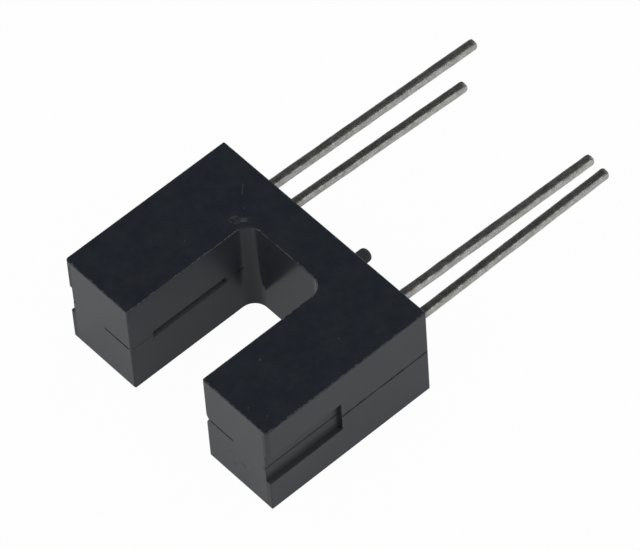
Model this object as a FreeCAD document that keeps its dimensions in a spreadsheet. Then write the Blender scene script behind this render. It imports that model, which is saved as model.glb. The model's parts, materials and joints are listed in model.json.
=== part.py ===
import FreeCAD, Part
import os
import Sketcher
from types import SimpleNamespace

# Optical switch: a slotted light barrier in one moulded housing, in millimetres.
# The origin is the middle of the seating face. X runs across the slot, Y out along the leads and
# Z up through the thickness, so the two arms point along -Y and the part lies on its wide face.
# The emitter sits in the arm at -X and the detector in the arm at +X. Both use one pattern of
# epoxy block, leads, chip and wire, drawn about the plane of its leads with the slot at +X. The
# detector's set is that pattern turned half a turn about Y, which puts its long lead below.

SIZES = {
    # Housing
    "body_width": 14.18,
    "body_length": 10.06,
    "body_thickness": 6.0,
    "slot_width": 5.3,
    "slot_depth": 7.67,
    "slot_fillet": 0.8,
    "upper_tip_round": 0.2,
    "lower_tip_round": 0.06,
    "rear_corner_round": 0.07,
    "slot_mouth_round": 0.1,
    "edge_round": 0.05,
    # Shallow rebate on the outer side of each arm
    "rebate_depth": 0.28,
    "rebate_height": 2.0,
    "rebate_length": 4.57,
    # Light slit in the inner face of each arm
    "slit_height": 0.45,
    "slit_start": 1.4,
    "slit_length": 4.6,
    # Parting line, and the nick where it meets the slot edge of one arm
    "seam_width": 0.1,
    "seam_depth": 0.06,
    "seam_on_end": 1.9,
    "seam_in_slot": 6.95,
    "nick_depth": 0.2,
    "nick_height": 0.9,
    "nick_length": 0.35,
    # Locating peg on the seating face
    "peg_diameter": 0.74,
    "peg_length": 1.88,
    "peg_round": 0.22,
    "peg_offset": 0.87,
    # Pocket in each arm, open to the rear
    "tip_wall": 1.16,
    "pocket_clearance": 0.1,
    "fill_recess": 0.3,
    # Epoxy block and its lens
    "block_thickness": 1.6,
    "block_width": 4.3,
    "block_length": 5.6,
    "block_corner": 0.5,
    "block_draft": 6.0,
    "lens_radius": 0.9,
    "lens_rise": 0.65,
    "lens_from_end": 1.9,
    # Leads: square wire, stamped from one sheet with the pads inside the block
    "lead_rows": 9.2,
    "lead_pitch": 2.54,
    "lead_size": 0.48,
    "lead_round": 0.11,
    "long_lead": 13.85,
    "short_lead": 12.85,
    "pad_height": 1.3,
    "pad_reach": 0.55,
    "post_height": 0.8,
    "post_gap": 0.25,
    # Chips and bond wires
    "emitter_chip": 0.36,
    "emitter_chip_height": 0.18,
    "detector_chip": 0.62,
    "detector_chip_height": 0.22,
    "wire_diameter": 0.05,
    "wire_rise": 0.22,
    "wire_foot": 0.14,
    "ball_diameter": 0.14,
    "ball_height": 0.05,
    # How far each lead's tip leans from straight, across the slot and through the thickness
    "anode_lean_across": 0.05,
    "anode_lean_up": -0.62,
    "cathode_lean_across": 0.35,
    "cathode_lean_up": -0.23,
    "collector_lean_across": 0.12,
    "collector_lean_up": -0.34,
    "emitter_lean_across": 0.06,
    "emitter_lean_up": 0.18,
}

TINY = 1e-6
# How far a cut runs past the face that it opens
OVERRUN = 1.0


class Size:
    """A length that knows its value and the sheet expression that gives it."""

    def __init__(self, value, text):
        self.value = value
        self.text = text

    def __add__(self, other):
        other = as_size(other)
        return Size(self.value + other.value, f"({self.text} + {other.text})")

    def __sub__(self, other):
        other = as_size(other)
        return Size(self.value - other.value, f"({self.text} - {other.text})")

    def __mul__(self, other):
        other = as_size(other)
        return Size(self.value * other.value, f"({self.text} * {other.text})")

    def __truediv__(self, other):
        other = as_size(other)
        return Size(self.value / other.value, f"({self.text} / {other.text})")

    def __neg__(self):
        return Size(-self.value, f"(0 - {self.text})")


def as_size(number):
    """Take a size as it is, and make one of a plain number."""
    if isinstance(number, Size):
        return number
    return Size(float(number), f"({float(number)!r})")


def make_sheet(doc):
    """Write the driving dimensions to a sheet and return them as sizes by name."""
    sheet = doc.addObject("Spreadsheet::Sheet", "Sizes")
    for row, (alias, value) in enumerate(SIZES.items(), start=1):
        sheet.set(f"A{row}", alias.replace("_", " "))
        sheet.set(f"B{row}", str(value))
        sheet.setAlias(f"B{row}", alias)
    doc.recompute()
    return SimpleNamespace(**{alias: Size(value, f"Sizes.{alias}") for alias, value in SIZES.items()})


def new_body(label):
    """Add an empty body whose label names its piece."""
    body = doc.addObject("PartDesign::Body", label)
    body.Label = label
    return body


def attach(item, body, role, offset):
    """Lay a sketch or a primitive on one of its own body's origin planes."""
    plane = next(feature for feature in body.Origin.OriginFeatures if feature.Role == role)
    item.AttachmentSupport = [(plane, "")]
    item.MapMode = "FlatFace"
    for axis, size in zip("xyz", offset):
        item.setExpression(f".AttachmentOffset.Base.{axis}", as_size(size).text)


def new_sketch(body, name, role, offset=0):
    """Open a sketch on an origin plane, lifted along the plane's normal."""
    sketch = body.newObject("Sketcher::SketchObject", name)
    attach(sketch, body, role, (0, 0, offset))
    return sketch


def tie_point(sketch, edge, end, across, along):
    """Tie one end of an edge to the sheet, measured from the sketch origin."""
    for kind, size in (("DistanceX", as_size(across)), ("DistanceY", as_size(along))):
        index = sketch.addConstraint(Sketcher.Constraint(kind, -1, 1, edge, end, size.value))
        sketch.setExpression(f"Constraints[{index}]", size.text)


def draw_outline(sketch, corners):
    """Draw a closed outline of straight edges with every corner tied to the sheet."""
    places = [FreeCAD.Vector(as_size(x).value, as_size(y).value, 0) for x, y in corners]
    count = len(places)
    for number, place in enumerate(places):
        sketch.addGeometry(Part.LineSegment(place, places[(number + 1) % count]))
    for number, (across, along) in enumerate(corners):
        before = (number - 1) % count
        sketch.addConstraint(Sketcher.Constraint("Coincident", before, 2, number, 1))
        tie_point(sketch, number, 1, across, along)


def draw_box(sketch, left, right, low, high):
    """Draw an upright rectangle."""
    draw_outline(sketch, [(left, low), (right, low), (right, high), (left, high)])


def draw_circle(sketch, across, along, diameter):
    """Draw a circle with its centre and diameter tied to the sheet."""
    centre = FreeCAD.Vector(as_size(across).value, as_size(along).value, 0)
    sketch.addGeometry(Part.Circle(centre, FreeCAD.Vector(0, 0, 1), diameter.value / 2))
    tie_point(sketch, 0, 3, across, along)
    index = sketch.addConstraint(Sketcher.Constraint("Diameter", 0, diameter.value))
    sketch.setExpression(f"Constraints[{index}]", diameter.text)


def draw_path(sketch, points):
    """Draw an open path of straight runs with every point tied to the sheet."""
    places = [FreeCAD.Vector(as_size(x).value, as_size(y).value, 0) for x, y in points]
    for number in range(len(places) - 1):
        sketch.addGeometry(Part.LineSegment(places[number], places[number + 1]))
        tie_point(sketch, number, 1, *points[number])
        if number:
            sketch.addConstraint(Sketcher.Constraint("Coincident", number - 1, 2, number, 1))
    tie_point(sketch, len(places) - 2, 2, *points[-1])


def extrude(body, kind, sketch, length, both_ways=False, reverse=False):
    """Pad or pocket a sketch by a length from the sheet."""
    feature = body.newObject(f"PartDesign::{kind}", f"{sketch.Name}_{kind.lower()}")
    feature.Profile = sketch
    feature.setExpression("Length", length.text)
    feature.SideType = "Symmetric" if both_ways else "One side"
    feature.Reversed = reverse
    doc.recompute()
    return feature


def round_edges(body, name, radius, chosen):
    """Round the edges of the newest feature that a test picks out."""
    base = body.Tip
    names = [f"Edge{number}" for number, edge in enumerate(base.Shape.Edges, start=1) if chosen(edge)]
    fillet = body.newObject("PartDesign::Fillet", name)
    fillet.Base = (base, names)
    fillet.setExpression("Radius", radius.text)
    doc.recompute()
    return fillet


def upright_at(edge, across, along):
    """Tell whether an edge runs through the thickness at a place of the outline or its mirror."""
    box = edge.BoundBox
    return (box.ZLength > TINY and abs(abs(box.Center.x) - across.value) < TINY
            and abs(box.Center.y - along.value) < TINY)


def make_housing(s):
    """Mould the housing: a U with a rebate, a pocket and a light slit in each arm, and one peg."""
    body = new_body("housing")
    half, side = s.body_width / 2, s.slot_width / 2
    tip = -s.body_length
    root = tip + s.slot_depth
    outline = new_sketch(body, "outline", "XY_Plane")
    draw_outline(outline, [(-half, 0), (-half, tip), (-side, tip), (-side, root),
                           (side, root), (side, tip), (half, tip), (half, 0)])
    extrude(body, "Pad", outline, s.body_thickness, both_ways=True)
    round_upright(body, s, half, side, tip, root)
    cuts = cut_arm(body, s, half, side, tip) + cut_seam(body, s, half, side, tip)
    mirrored = body.newObject("PartDesign::Mirrored", "other_arm")
    mirrored.Originals = cuts
    plane = next(feature for feature in body.Origin.OriginFeatures if feature.Role == "YZ_Plane")
    mirrored.MirrorPlane = (plane, [""])
    body.Tip = mirrored
    doc.recompute()
    round_tips(body, s, half, tip)
    add_peg(body, s)
    cut_nick(body, s, side, tip)
    return body


def round_upright(body, s, half, side, tip, root):
    """Round the slot's inner corners, the rear corners and the mouth of the slot."""
    round_edges(body, "slot_corners", s.slot_fillet, lambda edge: upright_at(edge, side, root))
    round_edges(body, "rear_corners", s.rear_corner_round,
                lambda edge: upright_at(edge, half, as_size(0)))
    round_edges(body, "slot_mouth", s.slot_mouth_round, lambda edge: upright_at(edge, side, tip))


def round_tips(body, s, half, tip):
    """Round the arms' outer corners, more above the rebate than below, and both flat outlines."""
    round_edges(body, "upper_tips", s.upper_tip_round,
                lambda edge: upright_at(edge, half, tip) and edge.BoundBox.ZMin > 0)
    round_edges(body, "lower_tips", s.lower_tip_round,
                lambda edge: upright_at(edge, half, tip) and edge.BoundBox.ZMax < 0)
    face = s.body_thickness.value / 2
    round_edges(body, "flat_outlines", s.edge_round, lambda edge: edge.BoundBox.ZLength < TINY
                and abs(abs(edge.BoundBox.ZMax) - face) < TINY)


def cut_arm(body, s, half, side, tip):
    """Cut the rebate, the pocket with its lens channel and the light slit of the arm at +X."""
    row, thick = s.lead_rows / 2, s.block_thickness / 2
    clear = s.pocket_clearance
    lens = tip + s.tip_wall + s.lens_from_end

    rebate = new_sketch(body, "rebate", "XY_Plane")
    draw_box(rebate, half - s.rebate_depth, half + OVERRUN, tip - OVERRUN, tip + s.rebate_length)
    pocket = new_sketch(body, "pocket", "XY_Plane")
    draw_box(pocket, row - thick, row + thick + clear, tip + s.tip_wall, OVERRUN)
    channel = new_sketch(body, "lens_channel", "XY_Plane")
    draw_box(channel, row - thick - s.lens_rise - clear, row, lens - s.lens_radius - clear, OVERRUN)
    slit = new_sketch(body, "light_slit", "XY_Plane")
    draw_box(slit, side / 2, row, tip + s.slit_start, tip + s.slit_start + s.slit_length)

    return [extrude(body, "Pocket", rebate, s.rebate_height, both_ways=True),
            extrude(body, "Pocket", pocket, s.block_width + clear * 2, both_ways=True),
            extrude(body, "Pocket", channel, (s.lens_radius + clear) * 2, both_ways=True),
            extrude(body, "Pocket", slit, s.slit_height, both_ways=True)]


def cut_seam(body, s, half, side, tip):
    """Cut the parting line of the arm at +X as fine V grooves at mid-thickness."""
    deep, wide = s.seam_depth, s.seam_width
    floor = half - s.rebate_depth
    slit_end = s.slit_start + s.slit_length

    def along_arm(name, face, outward, start, length):
        """Run one groove along an arm's side face, which looks along outward."""
        sketch = new_sketch(body, name, "XZ_Plane", -(tip + start))
        draw_outline(sketch, [(face - deep * outward, 0), (face + deep * outward, -wide),
                              (face + deep * outward, wide)])
        return extrude(body, "Pocket", sketch, length)

    end = new_sketch(body, "seam_end", "YZ_Plane", side + s.seam_on_end)
    draw_outline(end, [(tip + deep, 0), (tip - deep, -wide), (tip - deep, wide)])
    return [along_arm("seam_side", half, 1, as_size(0), s.body_length + OVERRUN),
            along_arm("seam_rebate", floor, 1, as_size(0), s.rebate_length),
            extrude(body, "Pocket", end, s.seam_on_end + side / 2),
            along_arm("seam_to_slit", side, -1, as_size(0), s.slit_start + deep),
            along_arm("seam_past_slit", side, -1, slit_end - deep, s.seam_in_slot - slit_end)]


def add_peg(body, s):
    """Stand the locating peg on the seating face and round its end."""
    peg = new_sketch(body, "peg", "XZ_Plane")
    draw_circle(peg, s.peg_offset, 0, s.peg_diameter)
    extrude(body, "Pad", peg, s.peg_length, reverse=True)
    end = s.peg_length.value
    round_edges(body, "peg_end", s.peg_round, lambda edge: edge.BoundBox.YMin > end - TINY)


def cut_nick(body, s, side, tip):
    """Cut the small nick in the slot edge of the arm at +X."""
    nick = new_sketch(body, "nick", "XZ_Plane", -tip)
    deep, tall = s.nick_depth, s.nick_height
    draw_outline(nick, [(side + deep, 0), (side - deep, -tall), (side - deep, tall)])
    extrude(body, "Pocket", nick, s.nick_length)


def place_set(body, s, turned):
    """Put a piece drawn about its leads' plane into its arm, turned over for the detector."""
    angle = 180 if turned else 0
    body.Placement = FreeCAD.Placement(FreeCAD.Vector(), FreeCAD.Rotation(FreeCAD.Vector(0, 1, 0), angle))
    row = s.lead_rows / 2
    body.setExpression(".Placement.Base.x", row.text if turned else (-row).text)


def make_lead(s, label, side, length, reach, height, lean, turned):
    """Make one lead: a leaning square tail, and inside the arm a stem that ends in a pad.

    side is +1 for the long lead and -1 for the short one. lean is how far the tip moves across
    the slot and through the thickness. reach is how near the pad's edge comes to the middle,
    negative where it passes it.
    """
    body = new_body(label)
    wire = s.lead_size / 2
    middle = s.lead_pitch / 2 * side
    root = new_sketch(body, f"{label}_root", "XZ_Plane")
    draw_box(root, -wire, wire, middle - wire, middle + wire)
    tail = extrude(body, "Pad", root, length)
    tail.UseCustomVector = True
    for axis, size in zip("xyz", (lean[0], length, lean[1])):
        tail.setExpression(f".Direction.{axis}", size.text)
    doc.recompute()
    round_edges(body, f"{label}_edges", s.lead_round, lambda edge: edge.BoundBox.YMax > TINY)

    lens = s.tip_wall + s.lens_from_end - s.body_length
    inner = middle - wire * side
    outer = middle + wire * side
    stem = new_sketch(body, f"{label}_stem", "YZ_Plane")
    draw_outline(stem, [(0, outer), (lens - height / 2, outer), (lens - height / 2, reach * side),
                        (lens + height / 2, reach * side), (lens + height / 2, inner), (0, inner)])
    extrude(body, "Pad", stem, s.lead_size, both_ways=True)
    place_set(body, s, turned)
    return body


def make_chip(s, label, size, height, turned):
    """Lay the chip on the paddle, in line with the lens."""
    body = new_body(label)
    lens = s.tip_wall + s.lens_from_end - s.body_length
    chip = body.newObject("PartDesign::AdditiveBox", f"{label}_block")
    chip.setExpression("Length", size.text)
    chip.setExpression("Width", size.text)
    chip.setExpression("Height", height.text)
    attach(chip, body, "YZ_Plane", (lens - size / 2, -size / 2, s.lead_size / 2))
    place_set(body, s, turned)
    doc.recompute()
    return body


def make_wire(s, label, chip_height, turned):
    """Bend the bond wire from a ball on the chip over to the post of the long lead."""
    body = new_body(label)
    lens = s.tip_wall + s.lens_from_end - s.body_length
    pad_face = s.lead_size / 2
    chip_face = pad_face + chip_height
    post = (s.pad_reach + s.post_gap + s.lead_pitch / 2 + s.lead_size / 2) / 2

    ball = body.newObject("PartDesign::AdditiveCylinder", f"{label}_ball")
    ball.setExpression("Radius", (s.ball_diameter / 2).text)
    ball.setExpression("Height", s.ball_height.text)
    attach(ball, body, "YZ_Plane", (lens, 0, chip_face))
    section = new_sketch(body, f"{label}_section", "YZ_Plane", chip_face)
    draw_circle(section, lens, 0, s.wire_diameter)
    path = new_sketch(body, f"{label}_path", "XZ_Plane", -lens)
    draw_path(path, [(chip_face, 0), (chip_face + s.wire_rise, 0),
                     (pad_face + s.wire_foot, post), (pad_face, post)])
    pipe = body.newObject("PartDesign::AdditivePipe", f"{label}_pipe")
    pipe.Profile = section
    pipe.Spine = path
    pipe.Transition = "Right corner"
    doc.recompute()
    place_set(body, s, turned)
    return body


def cut_out(label, base, tools):
    """Mould a piece round others: take their shapes out of it."""
    inside = doc.addObject("Part::MultiFuse", f"{label}_inside")
    inside.Shapes = tools
    cut = doc.addObject("Part::Cut", label)
    cut.Label = label
    cut.Base = base
    cut.Tool = inside
    doc.recompute()
    return cut


def make_block(s, label, inside, turned):
    """Cast the epoxy block round its leads, chip and wire, with a domed lens towards the slot."""
    body = new_body(f"{label}_block")
    front = s.tip_wall - s.body_length
    rear = front + s.block_length
    wide, corner = s.block_width / 2, s.block_corner
    face = new_sketch(body, f"{label}_face", "YZ_Plane")
    draw_outline(face, [(front, corner - wide), (front, wide - corner), (front + corner, wide),
                        (rear, wide), (rear, -wide), (front + corner, -wide)])
    pad = extrude(body, "Pad", face, s.block_thickness, both_ways=True)
    pad.setExpression("TaperAngle", (-s.block_draft).text)
    lens = body.newObject("PartDesign::AdditiveSphere", f"{label}_lens")
    lens.setExpression("Radius", s.lens_radius.text)
    attach(lens, body, "XY_Plane", (s.block_thickness / 2 + s.lens_rise - s.lens_radius,
                                    front + s.lens_from_end, 0))
    place_set(body, s, turned)
    doc.recompute()
    return cut_out(label, body, inside)


def make_backfill(s, label, leads, turned):
    """Fill the rear of the pocket and of its lens channel with resin round the two leads."""
    body = new_body(f"{label}_plug")
    start = s.tip_wall - s.body_length + s.block_length
    thick, clear = s.block_thickness / 2, s.pocket_clearance
    plug = new_sketch(body, f"{label}_pocket", "XY_Plane")
    draw_box(plug, -thick - clear, thick, start, -s.fill_recess)
    extrude(body, "Pad", plug, s.block_width + clear * 2, both_ways=True)
    key = new_sketch(body, f"{label}_channel", "XY_Plane")
    draw_box(key, 0, thick + s.lens_rise + clear, start, -s.fill_recess)
    extrude(body, "Pad", key, (s.lens_radius + clear) * 2, both_ways=True)
    place_set(body, s, turned)
    doc.recompute()
    return cut_out(label, body, leads)


def make_set(s, name, long_name, short_name, leans, chip_size, chip_height, turned):
    """Make all the pieces of one arm's emitter or detector."""
    long_lead = make_lead(s, f"{name}_{long_name}_lead", 1, s.long_lead, s.pad_reach + s.post_gap,
                          s.post_height, leans[0], turned)
    short_lead = make_lead(s, f"{name}_{short_name}_lead", -1, s.short_lead, -s.pad_reach,
                           s.pad_height, leans[1], turned)
    chip = make_chip(s, f"{name}_die", chip_size, chip_height, turned)
    wire = make_wire(s, f"{name}_bond_wire", chip_height, turned)
    block = make_block(s, f"{name}_package", [long_lead, short_lead, chip, wire], turned)
    fill = make_backfill(s, f"{name}_backfill", [long_lead, short_lead], turned)
    return [block, long_lead, short_lead, chip, wire, fill]


def check_document():
    """Stop where any object failed to compute, or a cut took nothing away."""
    for item in doc.Objects:
        if "Invalid" in item.State or "Error" in item.State:
            raise RuntimeError(f"{item.Label} failed: {item.State}")
        if item.TypeId == "PartDesign::Pocket":
            lost = item.BaseFeature.Shape.Volume - item.Shape.Volume
            if lost < TINY:
                raise RuntimeError(f"{item.Label} cuts nothing")


def export_pieces(pieces):
    """Write each piece to its own file, after a look at its shape."""
    os.makedirs("parts", exist_ok=True)
    for piece in pieces:
        shape = piece.Shape
        if shape.isNull() or not shape.isValid() or len(shape.Solids) != 1:
            raise RuntimeError(f"{piece.Label} is not one valid solid")
        shape.exportStep(f"parts/{piece.Label}.step")
        print(f"{piece.Label}: {shape.Volume:.4f} mm3, {len(shape.Faces)} faces")


doc = FreeCAD.newDocument("optical_switch")
sizes = make_sheet(doc)
pieces = [make_housing(sizes)]
pieces += make_set(sizes, "emitter", "anode", "cathode",
                   [(sizes.anode_lean_across, sizes.anode_lean_up),
                    (sizes.cathode_lean_across, sizes.cathode_lean_up)],
                   sizes.emitter_chip, sizes.emitter_chip_height, turned=False)
pieces += make_set(sizes, "detector", "emitter", "collector",
                   [(-sizes.emitter_lean_across, -sizes.emitter_lean_up),
                    (-sizes.collector_lean_across, -sizes.collector_lean_up)],
                   sizes.detector_chip, sizes.detector_chip_height, turned=True)
doc.recompute()
check_document()
export_pieces(pieces)
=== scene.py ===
# %% [markdown]
# # Optical switch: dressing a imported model
#
# The part is a slotted light barrier: one black moulded housing with two arms, an emitter in one
# arm, a detector in the other, and four tinned leads. The solids come from the CAD model and stay
# where they are. This file gives them their finishes, draws the four leads again with the uneven
# tin that a straight-sided solid can't show, and lights the part softly on a pale table.

# %% Load the frame
import bpy
import bmesh
import json
import math
from mathutils import Matrix, Vector, noise


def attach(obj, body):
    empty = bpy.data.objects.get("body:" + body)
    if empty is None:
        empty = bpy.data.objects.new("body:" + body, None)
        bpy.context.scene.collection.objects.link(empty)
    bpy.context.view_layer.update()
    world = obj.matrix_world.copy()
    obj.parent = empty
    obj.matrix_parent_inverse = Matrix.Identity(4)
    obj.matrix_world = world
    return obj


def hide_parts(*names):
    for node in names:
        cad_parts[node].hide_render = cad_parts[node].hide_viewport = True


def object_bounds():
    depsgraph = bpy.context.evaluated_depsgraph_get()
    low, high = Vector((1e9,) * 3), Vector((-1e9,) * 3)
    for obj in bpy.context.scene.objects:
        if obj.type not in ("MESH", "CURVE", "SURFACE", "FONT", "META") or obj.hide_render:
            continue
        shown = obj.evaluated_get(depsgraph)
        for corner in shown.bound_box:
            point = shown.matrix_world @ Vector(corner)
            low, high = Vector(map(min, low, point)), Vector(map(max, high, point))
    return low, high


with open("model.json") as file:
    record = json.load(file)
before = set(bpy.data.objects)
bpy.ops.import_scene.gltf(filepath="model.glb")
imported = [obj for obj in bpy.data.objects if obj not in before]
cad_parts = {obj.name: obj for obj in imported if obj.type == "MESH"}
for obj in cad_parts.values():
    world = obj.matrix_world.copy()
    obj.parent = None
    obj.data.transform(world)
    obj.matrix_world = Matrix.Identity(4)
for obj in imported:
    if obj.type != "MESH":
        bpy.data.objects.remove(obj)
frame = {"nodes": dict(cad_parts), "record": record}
cad_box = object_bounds()
nodes = frame["nodes"]
MM = 0.001
print(f"{len(nodes)} nodes, box {[round((b - a) / MM, 2) for a, b in zip(*cad_box)]} mm")

# %% [markdown]
# ## A small language for shaders
#
# A finish is a formula over the surface: here a little rougher, there a little lighter. Blender
# writes such formulas as nodes and links. Wrapping a socket in a Python class lets the formula be
# typed as one: `1 - mask * 0.5` adds its own two Math nodes. A second class holds one tree of nodes
# and has a single method that makes any node, with its settings first and then its sockets. A third
# class adds what only a material needs, such as places on the part in millimetres.

# %% Sockets as numbers
class Value:
    """A node's output that takes part in sums and products like a number."""

    def __init__(self, tree, socket):
        self.tree = tree
        self.socket = socket

    def math(self, operation, *terms):
        """Add a Math node and feed it these terms."""
        node = self.tree.nodes.new("ShaderNodeMath")
        node.operation = operation
        for place, term in zip(node.inputs, terms):
            feed(self.tree, place, term)
        return Value(self.tree, node.outputs[0])

    def __add__(self, other):
        return self.math("ADD", self, other)

    def __sub__(self, other):
        return self.math("SUBTRACT", self, other)

    def __rsub__(self, other):
        return self.math("SUBTRACT", other, self)

    def __mul__(self, other):
        return self.math("MULTIPLY", self, other)

    def __neg__(self):
        return self.math("MULTIPLY", self, -1)

    __radd__ = __add__
    __rmul__ = __mul__

    def size(self):
        """The value without its sign."""
        return self.math("ABSOLUTE", self)

    def root(self):
        """The value's square root."""
        return self.math("SQRT", self)

    def lowest(self, other):
        """The smaller of the two."""
        return self.math("MINIMUM", self, other)

    def highest(self, other):
        """The larger of the two."""
        return self.math("MAXIMUM", self, other)


def feed(tree, place, term):
    """Link a socket, or set a plain number or colour on it."""
    if isinstance(term, Value):
        tree.links.new(term.socket, place)
    else:
        place.default_value = term


def weigh(masks, weights, start=0.0):
    """Add up masks, each times its weight, on top of a starting value."""
    total = start
    for name, weight in weights.items():
        total = masks[name] * weight + total
    return total


def span(mask, low, high):
    """A number that runs from low to high with a mask."""
    return low + mask * (high - low)


# %% One tree of nodes
# A Mix node lists its sockets for numbers, vectors and colours in turn, so those for colours are
# found by their place in the list.
MIX_FACTOR, MIX_FIRST, MIX_SECOND = 0, 6, 7
MIX_COLOUR = 2


class Recipe:
    """The nodes of a material or of the room, emptied first and then added one by one."""

    def __init__(self, owner):
        owner.use_nodes = True
        self.owner = owner
        self.tree = owner.node_tree
        self.tree.nodes.clear()

    def node(self, kind, settings=None, sockets=None, output=0):
        """Add any node: its settings first, then the values or links of its sockets."""
        node = self.tree.nodes.new(kind)
        for name, setting in (settings or {}).items():
            setattr(node, name, setting)
        for name, term in (sockets or {}).items():
            feed(self.tree, node.inputs[name], term)
        return Value(self.tree, node.outputs[output])

    def between(self, value, low, high):
        """Rise smoothly from 0 at low to 1 at high, or fall where low is above high."""
        return self.node("ShaderNodeMapRange", {"interpolation_type": "SMOOTHSTEP"},
                         {"Value": value, "From Min": low, "From Max": high})

    def blend(self, factor, first, second):
        """Mix two colours."""
        sockets = {MIX_FACTOR: factor, MIX_FIRST: first, MIX_SECOND: second}
        return self.node("ShaderNodeMix", {"data_type": "RGBA"}, sockets, output=MIX_COLOUR)

    def close(self, shader, kind="ShaderNodeOutputMaterial"):
        """Connect a shader to the tree's output and say how many nodes it took."""
        output = self.tree.nodes.new(kind)
        self.tree.links.new(shader.socket, output.inputs["Surface"])
        print(f"{self.owner.name}: {len(self.tree.nodes)} nodes")


# %% One material
SPECK_CORE = 0.5
SCRATCH_CORE = 0.3
SCRATCH_FADE = 0.06


class Finish(Recipe):
    """A material under construction. Places on the part are measured in millimetres."""

    def __init__(self, name):
        super().__init__(bpy.data.materials.new(name))
        place = self.node("ShaderNodeTexCoord", output="Object")
        self.place = self.node("ShaderNodeVectorMath", {"operation": "SCALE"},
                               {"Vector": place, "Scale": 1 / MM})
        self.x, self.y, self.z = (
            self.node("ShaderNodeSeparateXYZ", {}, {"Vector": self.place}, output=axis)
            for axis in "XYZ")

    def noise(self, size, detail=3.0, rough=0.5, stretch=(1, 1, 1), warp=0.0):
        """Cloudy noise from 0 to 1 whose lumps are about size millimetres across."""
        place = self.node("ShaderNodeVectorMath", {"operation": "MULTIPLY"},
                          {0: self.place, 1: stretch})
        return self.node("ShaderNodeTexNoise", {}, {
            "Vector": place, "Scale": 1 / size, "Detail": detail, "Roughness": rough,
            "Distortion": warp})

    def patches(self, low, high, **cloud):
        """Noise made into patches: 0 where it is below low, and 1 where it is above high."""
        return self.between(self.noise(**cloud), low, high)

    def speck(self, where, radius):
        """A soft round dot on the surface: 1 at its middle and 0 outside its radius."""
        reach = self.node("ShaderNodeVectorMath", {"operation": "DISTANCE"},
                          {0: self.place, 1: where}, output="Value")
        return self.between(reach, radius, radius * SPECK_CORE)

    def scratch(self, start, end, width):
        """A thin line between two places: 1 along its middle and 0 beside it."""
        run = Vector(end) - Vector(start)
        course = run.normalized()
        offset = self.node("ShaderNodeVectorMath", {"operation": "SUBTRACT"},
                           {0: self.place, 1: start})
        along = self.node("ShaderNodeVectorMath", {"operation": "DOT_PRODUCT"},
                          {0: offset, 1: course}, output="Value")
        foot = self.node("ShaderNodeVectorMath", {"operation": "SCALE"},
                         {"Vector": course, "Scale": along})
        aside = self.node("ShaderNodeVectorMath", {"operation": "DISTANCE"},
                          {0: offset, 1: foot}, output="Value")
        return (self.between(aside, width, width * SCRATCH_CORE)
                * self.between(along, 0, SCRATCH_FADE)
                * self.between(along, run.length, run.length - SCRATCH_FADE))

    def flatness(self):
        """1 where the surface faces straight up or down, and 0 where it stands upright."""
        normal = self.node("ShaderNodeNewGeometry", output="Normal")
        return self.node("ShaderNodeSeparateXYZ", {}, {"Vector": normal}, output="Z").size()

    def bump(self, height, depth):
        """Raise or sink the surface by depth millimetres for each 1 of height."""
        return self.node("ShaderNodeBump", {},
                         {"Height": height, "Distance": depth * MM, "Strength": 1.0})

    def surface(self, **sockets):
        """Finish with the shader and its sockets, whose spaces are written as underscores."""
        named = {name.replace("_", " "): term for name, term in sockets.items()}
        self.close(self.node("ShaderNodeBsdfPrincipled", {}, named))
        return self.owner


FINISHES = {}

# %% [markdown]
# ## Black housing
#
# The housing is moulded from black thermoplastic. It looks dark navy from above, where it mirrors
# a dim ceiling, and mid grey on its upright sides, where it mirrors the pale table. So the colour
# itself stays nearly black and even, and the looks come from a satin gloss with a fine moulded
# grain. A part of this kind is never quite even, so masks say where it differs: the slot's side
# walls and the rebates are duller, the parting line is darker, flash has chipped off along the
# outlines, a vane has rubbed a scuff beside the slot, and a few specks of dust lie on top. Some
# light is painted in as well: the slot's walls and the rebates are painted lighter to lift their
# shade, and the slits' lower lips and the filled part of the parting line are painted pale. Each
# mask is a number from 0 to 1 at every place on the surface, so they can be added and multiplied.
#
# The wear could be painted as a picture instead, but the housing would have to be unwrapped for it
# and the picture would blur from close by. A mask worked out in millimetres stays sharp.
#
# Places and sizes are in millimetres. Those of the whole housing come from the frame's box, and the
# slot's repeat the CAD model. Flatness runs from 0 on an upright face to 1 on a level one. A pair of
# numbers is a fade: its mask is 0 at the first and 1 at the second.

# %% Sizes of the housing
HALF_WIDTH = cad_box[1].x / MM
LENGTH = -cad_box[0].y / MM
TOP = cad_box[1].z / MM
SLOT_HALF_WIDTH = 2.65
SLOT_ROOT = -2.39
SLOT_FILLET = 0.8
print(f"housing {2 * HALF_WIDTH:.2f} x {LENGTH:.2f} x {2 * TOP:.2f} mm, "
      f"slot {2 * SLOT_HALF_WIDTH:.2f} mm wide")

# %% Chipped outline
CHIP_SIZE = 0.22
CHIP_REACH = 0.42
CHIP_RARITY = 0.17
CHIP_RIM = (0.0, 0.02)
ON_FLAT_FACE = (0.5, 0.8)


def outline_chips(f, flat):
    """Small bites out of the outline of both flat faces, where flash has broken off."""
    across = f.x.size()
    past_side = (across - (SLOT_HALF_WIDTH - SLOT_FILLET)).highest(0)
    past_root = (f.y - (SLOT_ROOT - SLOT_FILLET)).highest(0)
    beside_slot = (past_side * past_side + past_root * past_root).root() - SLOT_FILLET
    inset = (HALF_WIDTH - across).lowest(f.y + LENGTH).lowest(-f.y).lowest(beside_slot)
    bite = f.noise(size=CHIP_SIZE, detail=5.0, rough=0.7) * CHIP_REACH - CHIP_RARITY
    return f.between(bite - inset, *CHIP_RIM) * f.between(flat, *ON_FLAT_FACE)


# %% Parting line and light slits
SEAM_BAND = (0.085, 0.05)
SEAM_ON_SIDE = (6.6, 6.7)
SEAM_ON_END = (-9.8, -9.9)
SEAM_END_STOP = (4.65, 4.5)
SEAM_ON_SLOT_WALL = (2.9, 2.8)
SEAM_FROM_ROOT = (-2.9, -3.0)
SEAM_FREE_OF_FLASH = (-8.7, -8.5)

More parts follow.
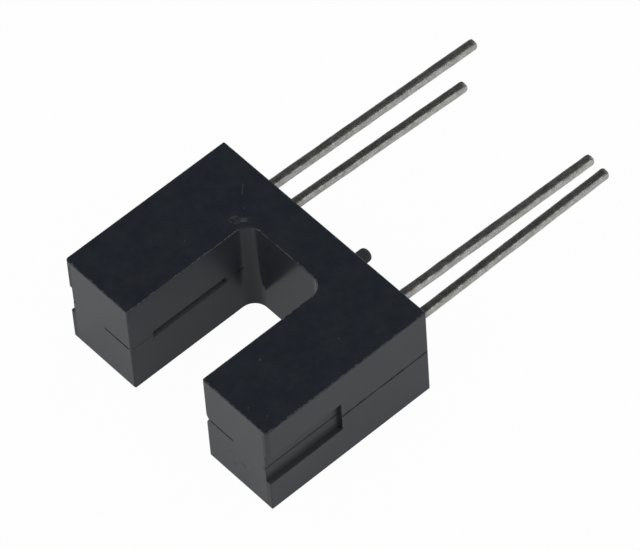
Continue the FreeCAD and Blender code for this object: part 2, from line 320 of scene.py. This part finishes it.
LIP_BELOW_MIDDLE = (0.16, -0.16)
LIP_FOOT = (-0.27, -0.24)
LIP_NEAR_END = (-8.8, -8.6)
LIP_FAR_END = (-3.95, -4.1)
LIP_FACE = (2.6, 2.63)
LIP_DEPTH = (3.3, 2.7)


def seam_line(f):
    """The parting line: 1 in its open groove at mid-thickness, and 0 where flash fills it."""
    across = f.x.size()
    on_side = f.between(across, *SEAM_ON_SIDE)
    on_end = f.between(f.y, *SEAM_ON_END) * f.between(across, *SEAM_END_STOP)
    on_slot_wall = f.between(across, *SEAM_ON_SLOT_WALL) * f.between(f.y, *SEAM_FROM_ROOT)
    open_part = on_side + on_end + on_slot_wall * f.between(f.y, *SEAM_FREE_OF_FLASH)
    return f.between(f.z.size(), *SEAM_BAND) * open_part.lowest(1.0)


def slit_lip(f):
    """The lower lip of both light slits and the parting line that flash fills before them, painted
    pale as painted light.
    """
    across = f.x.size()
    low_wall = f.between(f.z, *LIP_BELOW_MIDDLE) * f.between(f.z, *LIP_FOOT)
    along_slit = f.between(f.y, *LIP_NEAR_END) * f.between(f.y, *LIP_FAR_END)
    lip = low_wall * along_slit * f.between(across, *LIP_FACE) * f.between(across, *LIP_DEPTH)
    full_of_flash = 1.0 - f.between(f.y, *SEAM_FREE_OF_FLASH)
    filled_painted_light = f.between(f.z.size(), *SEAM_BAND) * full_of_flash * f.between(across, *SEAM_ON_SLOT_WALL)
    return (lip + filled_painted_light).lowest(1.0)


# %% Rebates, slot, edges and peg
REBATE_FLOOR = (6.72, 6.78)
REBATE_MOUTH = (7.085, 7.07)
REBATE_HEIGHT = (2.9, 2.8)
REBATE_START = (-5.2, -5.4)
WITHIN_SLOT = (2.72, 2.68)
BEFORE_ROOT = (-2.33, -2.37)
PAST_FILLET = (-2.9, -3.2)
OUTSIDE_SLOT = (2.71, 2.76)
OFF_UPRIGHT = (0.1, 0.25)
SHORT_OF_LEVEL = (0.98, 0.9)
PEG_START = (0.02, 0.08)


def rebate(f):
    """The step along the outer side of both arms."""
    across = f.x.size()
    inside = f.between(across, *REBATE_FLOOR) * f.between(across, *REBATE_MOUTH)
    return inside * f.between(f.z.size(), *REBATE_HEIGHT) * f.between(f.y, *REBATE_START)


def slot_faces(f, flat):
    """The upright faces of the slot, from its root to the arms' ends."""
    return f.between(f.x.size(), *WITHIN_SLOT) * f.between(f.y, *BEFORE_ROOT) * (1.0 - flat)


def worn_edges(f, flat):
    """The roundings between level and upright faces, to the left and right of the slot."""
    rounding = f.between(flat, *OFF_UPRIGHT) * f.between(flat, *SHORT_OF_LEVEL)
    return rounding * f.between(f.x.size(), *OUTSIDE_SLOT)


# %% Scuffs, dust, scratches and pits
SCUFFS = [((-3.2, -2.78, TOP), 0.36), ((-2.82, -2.32, TOP), 0.22), ((-2.95, -2.5, TOP), 0.2)]
DUST = [((-3.91, -5.3, TOP), 0.05), ((3.71, -7.37, TOP), 0.08), ((5.38, -9.61, TOP), 0.06),
        ((6.33, -9.28, TOP), 0.06), ((5.35, -3.94, TOP), 0.05), ((-3.43, -1.99, TOP), 0.06),
        ((-0.68, SLOT_ROOT, 1.49), 0.06), ((-1.87, SLOT_ROOT, 1.7), 0.05),
        ((-SLOT_HALF_WIDTH, -7.27, 0.43), 0.06)]
PITS = [((4.73, -LENGTH, -1.56), 0.34), ((4.43, -LENGTH, -0.97), 0.24), ((5.3, -LENGTH, -1.2), 0.3)]
SCRATCHES = [((-4.58, -1.02, TOP), (-4.08, -1.54, TOP), 0.045),
             ((HALF_WIDTH, -4.77, -1.59), (HALF_WIDTH, -4.52, -1.34), 0.04)]


def marks(f, places):
    """Soft dots at a list of places and radii."""
    total = 0.0
    for where, radius in places:
        total = f.speck(where, radius) + total
    return total.lowest(1.0)


def scratches(f):
    """Thin lines from a list of starts, ends and widths."""
    total = 0.0
    for start, end, width in SCRATCHES:
        total = f.scratch(start, end, width) + total
    return total


print(f"{len(SCUFFS)} scuffs, {len(DUST)} specks, {len(PITS)} pits, {len(SCRATCHES)} scratches")

# %% [markdown]
# The masks now come together. What each of them does is a weight in a table: how much it lightens
# the plastic, how much it roughens it and how far it raises or sinks it. A last table tints some
# places. Tables keep the amounts in view, and a look is corrected by one number.

# %% Housing plastic
PLASTIC_DARK = (0.0165, 0.019, 0.025, 1)
PLASTIC_PALE = (0.0245, 0.027, 0.0335, 1)
PLASTIC_GLOSS = 0.14
PLASTIC_DULLEST = 0.8
PLASTIC_RELIEF = 0.004
SHADE_MIX = {"cloud": 0.6, "mottle": 0.4}
SHADE_RANGE = (0.3, 0.7)
LIGHTENS = {"flecks": 0.12, "chips": 0.75, "scuffs": 0.6, "dust": 0.5, "scratches": 0.45}
ROUGHENS = {"cloud": 0.08, "chips": 0.3, "scuffs": 0.4, "seam": 0.5, "lip": 0.5, "edges": 0.5,
            "peg": 0.5, "slot_walls": 0.14, "rebate": 0.26}
RAISES = {"grain": 0.2, "cloud": 1.0, "mottle": 0.6, "chips": -0.6, "pits": -4.0}
TINTS = [("light", 1.0, (0.08, 0.08, 0.075, 1)),
         ("seam", 1.0, (0.006, 0.006, 0.007, 1)),
         # Painted light: the slits' lower lips and the filled part of the parting line are painted
         # pale.
         ("lip", 1.0, (0.09, 0.09, 0.096, 1)),
         # Painted light: the slot's walls are painted lighter, which lifts their shade.
         ("slot", 0.5, (0.042, 0.045, 0.054, 1)),
         # Painted light: the rebates are painted lighter, which lifts their shade.
         ("rebate", 0.7, (0.048, 0.049, 0.053, 1)),
         ("peg", 1.0, (0.036, 0.037, 0.04, 1))]


def housing_masks(f):
    """Every mask of the housing by its name."""
    flat = f.flatness()
    slot = slot_faces(f, flat)
    masks = {
        "grain": f.noise(size=0.05, detail=2.0),
        "cloud": f.noise(size=1.6, detail=4.0, rough=0.6),
        "mottle": f.noise(size=0.35, detail=3.0),
        "flecks": f.patches(low=0.7, high=0.78, size=0.16, detail=2.0),
        "chips": outline_chips(f, flat),
        "scuffs": marks(f, SCUFFS) * f.patches(low=0.36, high=0.72, size=0.3, detail=5.0, rough=0.7),
        "scratches": scratches(f),
        "dust": marks(f, DUST),
        "pits": marks(f, PITS) * f.patches(low=0.5, high=0.62, size=0.11, detail=3.0),
        "seam": seam_line(f) * f.patches(low=0.3, high=0.6, size=0.5, detail=3.0),
        "lip": slit_lip(f),
        "edges": worn_edges(f, flat),
        "slot": slot,
        "slot_walls": slot * f.between(f.y, *PAST_FILLET),
        "rebate": rebate(f),
        "peg": f.between(f.y, *PEG_START),
    }
    masks["light"] = weigh(masks, LIGHTENS).lowest(1.0)
    return masks


def housing_plastic():
    """Satin black moulding with grain, edge wear, scuffs and dust."""
    f = Finish("black_moulding")
    masks = housing_masks(f)
    shade = f.between(weigh(masks, SHADE_MIX), *SHADE_RANGE)
    colour = f.blend(shade, PLASTIC_DARK, PLASTIC_PALE)
    for name, share, tint in TINTS:
        colour = f.blend(masks[name] * share, colour, tint)
    rough = weigh(masks, ROUGHENS, start=PLASTIC_GLOSS).lowest(PLASTIC_DULLEST)
    relief = f.bump(weigh(masks, RAISES), depth=PLASTIC_RELIEF)
    return f.surface(Base_Color=colour, Roughness=rough, IOR=1.46, Normal=relief)


FINISHES["black_plastic"] = housing_plastic()

# %% [markdown]
# ## Tinned leads
#
# The leads are stamped from a copper alloy sheet and dipped in tin, so they are square wires with
# rounded edges and a dull grey, slightly grainy coat. Tin is a metal: it has no colour of its own
# under the reflection. Fine grains break the reflection up, and darker and warmer blotches along the
# lead stand for the oxide on old tin. Its level top and bottom sides are painted much darker, which
# is painted shade, a little more so where the oxide is.

# %% Lead finish
TIN_CLEAN = (0.66, 0.65, 0.62, 1)
TIN_OXIDE = (0.51, 0.50, 0.47, 1)
# Painted shade: the colour of the leads' level top and bottom sides.
TIN_PAINTED_SHADE = (0.09, 0.087, 0.076, 1)
TIN_GRAIN = (0.1, 0.096, 0.085, 1)
TIN_GLOSS = 0.34
TIN_RELIEF = 0.006
TIN_ROUGHENS = {"oxide": 0.1, "grains": 0.1}
TIN_RAISES = {"grains": 0.7, "streaks": 0.5}
LEVEL_SIDE = (0.35, 0.95)
PAINTED_SHADE_SHARE = (0.74, 0.94)
GRAIN_SHARE = 0.5


def tinned_metal():
    """Dull grey tin with grains, streaks along the lead, darker oxide and painted shade on level
    sides.
    """
    f = Finish("tinned_lead")
    grains = f.noise(size=0.07, detail=4.0, rough=0.75)
    streaks = f.noise(size=0.16, detail=3.0, stretch=(1, 0.3, 1))
    oxide = f.patches(low=0.38, high=0.62, size=0.3, detail=4.0, rough=0.7, stretch=(1, 0.7, 1))
    masks = {"grains": grains, "streaks": streaks, "oxide": oxide}
    # Painted shade on the level top and bottom sides, a little stronger where the oxide is.
    painted_shade = f.between(f.flatness(), *LEVEL_SIDE) * span(oxide, *PAINTED_SHADE_SHARE)
    dark_grains = f.between(grains, low=0.5, high=0.66) * GRAIN_SHARE
    colour = f.blend(oxide, TIN_CLEAN, TIN_OXIDE)
    colour = f.blend(painted_shade, colour, TIN_PAINTED_SHADE)
    colour = f.blend(dark_grains, colour, TIN_GRAIN)
    rough = weigh(masks, TIN_ROUGHENS, start=TIN_GLOSS)
    relief = f.bump(weigh(masks, TIN_RAISES), depth=TIN_RELIEF)
    return f.surface(Base_Color=colour, Metallic=1.0, Roughness=rough, Normal=relief)


FINISHES["tinned_wire"] = tinned_metal()

# %% [markdown]
# The solid leads are perfectly straight-sided. Real tin runs and freezes in small waves, so each
# visible tail is built again here: rings of a rounded square follow the lead from the housing to
# its cut end. The rings are 0.02 mm larger on each side, which is the coat, and their edges are
# rounder. Noise moves every point in or out by 0.02 mm at most. A displacement in the material could
# do that too, but it would be lost outside Blender, and a mesh is kept. The stem and the pad inside
# the epoxy are cut from the solid's own mesh and stay as they are.

# %% Section of a lead
CORNER_POINTS = 6
SECTION_POINTS = 4 * CORNER_POINTS
CORNER_SIDES = ((1, 1), (-1, 1), (-1, -1), (1, -1))
LEAD_ROUND = 0.17 * MM
ON_PLANE = 0.001 * MM


def rounded_square(half, corner):
    """Points round a square with rounded corners, each with its outward direction."""
    points = []
    for quarter, sides in enumerate(CORNER_SIDES):
        middle = Vector(sides) * (half - corner)
        for step in range(CORNER_POINTS):
            turn = math.radians(quarter * 90 + step / (CORNER_POINTS - 1) * 90)
            outward = Vector((math.cos(turn), math.sin(turn)))
            points.append((middle + outward * corner, outward))
    return points


def section_at(mesh, y):
    """The middle of a lead's section at this distance from the housing, and half its width."""
    near = [vertex.co for vertex in mesh.vertices if abs(vertex.co.y - y) < ON_PLANE]
    low = Vector([min(co[axis] for co in near) for axis in range(3)])
    high = Vector([max(co[axis] for co in near) for axis in range(3)])
    return (low + high) / 2, (high.x - low.x) / 2


# %% Tail of a lead
RING_STEP = 0.11 * MM
TIN_COAT = 0.02 * MM
END_ROUND = 0.025 * MM
WAVE_HEIGHT = 0.012 * MM
WAVE_LENGTH = 0.9 * MM
GRAIN_HEIGHT = 0.006 * MM
GRAIN_LENGTH = 0.14 * MM
WELD = 0.0001 * MM


def tin_swell(place):
    """How far the tin stands out at a place: long waves and short grain."""
    waves = noise.noise(place / WAVE_LENGTH) * WAVE_HEIGHT
    grain = noise.noise(place / GRAIN_LENGTH) * GRAIN_HEIGHT
    return waves + grain


def add_ring(shape, middle, half, wavy):
    """Add one ring of points round the lead, in waves or true."""
    ring = []
    for point, outward in rounded_square(half, LEAD_ROUND):
        place = middle + Vector((point.x, 0, point.y))
        if wavy:
            place += Vector((outward.x, 0, outward.y)) * tin_swell(place)
        ring.append(shape.verts.new(place))
    return ring


def add_tail(shape, rim, base, tip, half):
    """Grow the wavy tail from the stem's cut rim to the tip as rings of faces, and close its end."""
    coated = half + TIN_COAT
    count = round((tip - base).length / RING_STEP)
    rings = [add_ring(shape, base.lerp(tip, step / count), coated, True) for step in range(1, count)]
    rings.append(add_ring(shape, tip, coated - END_ROUND, False))
    for low, high in zip(rings, rings[1:]):
        for number in range(SECTION_POINTS):
            after = (number + 1) % SECTION_POINTS
            shape.faces.new((low[number], high[number], high[after], low[after]))
    first = rings[0]
    loop = [shape.edges.get((first[number - 1], first[number])) for number in range(SECTION_POINTS)]
    bmesh.ops.bridge_loops(shape, edges=rim + loop)
    shape.faces.new(list(reversed(rings[-1])))


def draw_lead(node):
    """Keep the hidden stem and pad of a lead, and build its visible tail again."""
    source = nodes[node].data
    base, half = section_at(source, 0.0)
    tip, _ = section_at(source, max(vertex.co.y for vertex in source.vertices))
    shape = bmesh.new()
    shape.from_mesh(source)
    bmesh.ops.remove_doubles(shape, verts=shape.verts[:], dist=WELD)
    bmesh.ops.bisect_plane(shape, geom=shape.verts[:] + shape.edges[:] + shape.faces[:],
                           plane_co=(0, 0, 0), plane_no=(0, 1, 0), clear_outer=True, dist=WELD)
    rim = [edge for edge in shape.edges if edge.is_boundary]
    add_tail(shape, rim, base, tip, half)
    bmesh.ops.recalc_face_normals(shape, faces=shape.faces[:])
    mesh = bpy.data.meshes.new(f"{node}_tinned")
    shape.to_mesh(mesh)
    shape.free()
    for face in mesh.polygons:
        face.use_smooth = len(face.vertices) == 4
    lead = bpy.data.objects.new(f"{node}_tinned", mesh)
    bpy.context.scene.collection.objects.link(lead)
    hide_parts(node)
    print(f"{node}: {len(mesh.vertices)} points, rim of {len(rim)} edges, "
          f"half thickness {half / MM:.3f} mm")
    return lead


# %% [markdown]
# ## Blocks, chips, wires and sealing resin
#
# Inside each arm a small epoxy block holds a chip on a pad and one gold bond wire. The emitter's
# block is clear with a faint blue tint, and the detector's is nearly black, because it lets only
# infrared through. Little of this shows through the light slits, but the rear pockets are sealed
# with a level black resin that is in plain view from behind. Plain shaders would do for what is
# hidden, but the part may be opened up by whoever uses it, so each piece has its own finish.

# %% Cast epoxy
EPOXY_FLOW_SHADE = 0.85
EPOXY_ROUGH = (0.08, 0.16)
EPOXY_RELIEF = 0.01
CLEAR_COLOUR, CLEAR_SHARE = (0.86, 0.88, 0.9, 1), 0.95
DARK_COLOUR, DARK_SHARE = (0.02, 0.012, 0.018, 1), 0.15


def cast_epoxy(name, colour, clear):
    """Cast epoxy with faint flow marks, clear or dark."""
    f = Finish(name)
    flow = f.noise(size=0.8, detail=3.0, warp=0.6)
    shaded = [part * EPOXY_FLOW_SHADE for part in colour[:3]] + [1]
    tint = f.blend(f.between(flow, low=0.35, high=0.7), colour, shaded)
    return f.surface(Base_Color=tint, Roughness=span(flow, *EPOXY_ROUGH), IOR=1.54,
                     Transmission_Weight=clear, Normal=f.bump(flow, depth=EPOXY_RELIEF))


FINISHES["clear_epoxy"] = cast_epoxy("clear_epoxy_cast", CLEAR_COLOUR, CLEAR_SHARE)
FINISHES["dark_epoxy"] = cast_epoxy("dark_epoxy_cast", DARK_COLOUR, DARK_SHARE)

# %% Chip and gold wire
CHIP_GREY = (0.16, 0.16, 0.2, 1)
CHIP_LINE = (0.45, 0.42, 0.3, 1)
CHIP_GRID = {"Scale": 1.0, "Mortar Size": 0.006, "Brick Width": 0.06, "Row Height": 0.06}
CHIP_ROUGH = (0.18, 0.33)
CHIP_RELIEF = 0.002
GOLD_BRIGHT = (0.83, 0.6, 0.24, 1)
GOLD_DULL = (0.7, 0.48, 0.18, 1)
GOLD_ROUGH = (0.22, 0.32)


def chip_surface():
    """Polished semiconductor with a fine grid of etched lines."""
    f = Finish("chip_face")
    place = f.node("ShaderNodeCombineXYZ", {}, {"X": f.y, "Y": f.z})
    lines = f.node("ShaderNodeTexBrick", {"offset": 0.0}, {"Vector": place, **CHIP_GRID}, output="Fac")
    return f.surface(Base_Color=f.blend(lines, CHIP_GREY, CHIP_LINE), Metallic=0.6,
                     Roughness=span(lines, *CHIP_ROUGH), Normal=f.bump(lines, depth=CHIP_RELIEF))


def gold_surface():
    """Drawn gold whose gloss and colour vary a little."""
    f = Finish("drawn_gold")
    drawn = f.noise(size=0.02, detail=2.0)
    return f.surface(Base_Color=f.blend(drawn, GOLD_BRIGHT, GOLD_DULL), Metallic=1.0,
                     Roughness=span(drawn, *GOLD_ROUGH))


FINISHES["chip"] = chip_surface()
FINISHES["gold_wire"] = gold_surface()

# %% Sealing resin
RESIN_DARK = (0.012, 0.012, 0.013, 1)
RESIN_PALE = (0.022, 0.022, 0.023, 1)
RESIN_GLOSS = 0.3
RESIN_ROUGHENS = {"waves": 0.25, "bubbles": 0.2}
RESIN_RAISES = {"waves": 0.8, "bubbles": -0.3}
RESIN_RELIEF = 0.05
BUBBLES_PER_MM = 2.6
BUBBLE_RIM = (0.13, 0.07)


def sealing_resin():
    """Black resin that has levelled itself, with small bubbles and a dull patch or two."""
    f = Finish("black_resin")
    waves = f.noise(size=1.1, detail=3.0)
    cells = f.node("ShaderNodeTexVoronoi", {}, {"Vector": f.place, "Scale": BUBBLES_PER_MM},
                   output="Distance")
    masks = {"waves": waves, "bubbles": f.between(cells, *BUBBLE_RIM)}
    colour = f.blend(f.between(waves, low=0.4, high=0.7), RESIN_DARK, RESIN_PALE)
    rough = weigh(masks, RESIN_ROUGHENS, start=RESIN_GLOSS)
    relief = f.bump(weigh(masks, RESIN_RAISES), depth=RESIN_RELIEF)
    return f.surface(Base_Color=colour, Roughness=rough, Normal=relief)


FINISHES["sealing_resin"] = sealing_resin()

# %% [markdown]
# ## Dressing the nodes
#
# The model's record names a material slot for every node. Each node gets the finish of its slot,
# and the leads are drawn again on the way. Going by the slot rather than by a list of nodes keeps
# this true if a node is added.

# %% Give every node its finish
for part in frame["record"]["subparts"]:
    finish = FINISHES[part["material_slot"]]
    things = [nodes[part["node"]]]
    if part["material_slot"] == "tinned_wire":
        lead = draw_lead(part["node"])
        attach(lead, "root")
        things.append(lead)
    for thing in things:
        thing.data.materials.clear()
        thing.data.materials.append(finish)
print(f"{len(FINISHES)} finishes on {len(nodes)} nodes")

# %% [markdown]
# ## Table and light
#
# The table is a plain pale plane that keeps the part's shadow. What the camera sees of it is lifted
# to near white with emission, and what the glossy plastic mirrors is lifted less, so the lamps can
# stay at a plain level. The room is pale near the horizon and dim overhead, which gives the upright
# sides their grey and the flat top its dark look. Four wide lamps stand round the part, two on the
# camera's side at 40 degrees and two lower ones behind, so that every side gets soft light and none
# of them is mirrored by the top towards the camera.

# %% Table
TABLE_SIZE = 0.8
TABLE_BOARD = (0.78, 0.78, 0.78, 1)
TABLE_GLOW = (1, 1, 1, 1)
GLOW_SEEN = 0.975
GLOW_MIRRORED = 0.28


def table_finish():
    """Nearly all glow to the camera, less in reflections, and a lit pale board to all the rest."""
    f = Finish("pale_table")
    seen, mirrored, through = (f.node("ShaderNodeLightPath", output=f"Is {kind} Ray")
                               for kind in ("Camera", "Glossy", "Transmission"))
    board = f.node("ShaderNodeBsdfDiffuse", {}, {"Color": TABLE_BOARD})
    glow = f.node("ShaderNodeEmission", {}, {"Color": TABLE_GLOW, "Strength": 1.0})
    share = seen * GLOW_SEEN + (mirrored + through) * GLOW_MIRRORED
    f.close(f.node("ShaderNodeMixShader", {}, {0: share, 1: board, 2: glow}))
    return f.owner


def make_table(size, height):
    """A square of table under the part."""
    mesh = bpy.data.meshes.new("table")
    half = size / 2
    corners = [(x * half, y * half, height) for x, y in ((-1, -1), (1, -1), (1, 1), (-1, 1))]
    mesh.from_pydata(corners, [], [(0, 1, 2, 3)])
    mesh.materials.append(table_finish())
    table = bpy.data.objects.new("table", mesh)
    bpy.context.scene.collection.objects.link(table)


make_table(TABLE_SIZE, cad_box[0].z)

# %% Room
HORIZON_LIGHT = (0.42, 0.43, 0.45, 1)
CEILING_LIGHT = (0.055, 0.065, 0.085, 1)
CEILING_START = 0.7


def paint_room():
    """A room that is pale near the horizon and dim overhead."""
    world = bpy.data.worlds.new("room")
    bpy.context.scene.world = world
    f = Recipe(world)
    direction = f.node("ShaderNodeTexCoord", output="Generated")
    height = f.node("ShaderNodeSeparateXYZ", {}, {"Vector": direction}, output="Z")
    colour = f.blend(f.between(height, 0.0, CEILING_START), HORIZON_LIGHT, CEILING_LIGHT)
    f.close(f.node("ShaderNodeBackground", {}, {"Color": colour}), "ShaderNodeOutputWorld")


paint_room()

# %% Lamps
LAMP_DISTANCE = 0.45
# Each lamp's azimuth and elevation in degrees, its size in metres and its power in watts.
LAMPS = {
    "left_lamp": (0, 40, 0.3, 0.55),
    "right_lamp": (105, 40, 0.3, 0.62),
    "rear_lamp": (185, 26, 0.35, 0.6),
    "far_lamp": (280, 26, 0.35, 0.6),
}


def soft_lamp(name, azimuth, elevation, size, power):
    """A square panel of light that faces the part: azimuth 0 is on the -Y side, and 90 on the +X."""
    turn, rise = math.radians(azimuth), math.radians(elevation)
    level = Vector((math.sin(turn), -math.cos(turn), 0)) * math.cos(rise)
    away = level + Vector((0, 0, math.sin(rise)))
    data = bpy.data.lights.new(name, "AREA")
    data.size = size
    data.energy = power
    lamp = bpy.data.objects.new(name, data)
    lamp.location = away * LAMP_DISTANCE
    lamp.rotation_euler = away.to_track_quat("Z", "Y").to_euler()
    bpy.context.scene.collection.objects.link(lamp)


for name, setting in LAMPS.items():
    soft_lamp(name, *setting)
print(f"{len(LAMPS)} lamps, {LAMP_DISTANCE} m away")

# %% [markdown]
# ## Camera
#
# The camera stands about 0.3 m away with a long lens, where the outlines of the model fall on those
# in the photograph. Its place, aim, roll and lens were fitted together rather than one by one,
# because an error in one of them can hide behind another.

# %% Camera
CAMERA_PLACE = Vector((140.651, -112.953, 238.690)) * MM
CAMERA_AIM = Vector((0.252, -0.665, 0.008)) * MM
CAMERA_ROLL = -4.506
SENSOR_WIDTH = 36.0
FOCAL_LENGTH = 354.14
CLIP_NEAR, CLIP_FAR = 0.01, 10


def set_camera():
    """Look from the photograph's place with its long lens, rolled a little to the side."""
    data = bpy.data.cameras.new("camera")
    data.sensor_width = SENSOR_WIDTH
    data.lens = FOCAL_LENGTH
    data.clip_start = CLIP_NEAR
    data.clip_end = CLIP_FAR
    camera = bpy.data.objects.new("camera", data)
    aim = (CAMERA_AIM - CAMERA_PLACE).to_track_quat("-Z", "Y").to_matrix().to_4x4()
    roll = Matrix.Rotation(math.radians(CAMERA_ROLL), 4, "Z")
    camera.matrix_world = Matrix.Translation(CAMERA_PLACE) @ aim @ roll
    bpy.context.scene.collection.objects.link(camera)
    bpy.context.scene.camera = camera
    bpy.context.view_layer.update()
    print("camera right", [round(v, 4) for v in camera.matrix_world.col[0][:3]])


set_camera()
bpy.context.scene.view_settings.view_transform = "Standard"
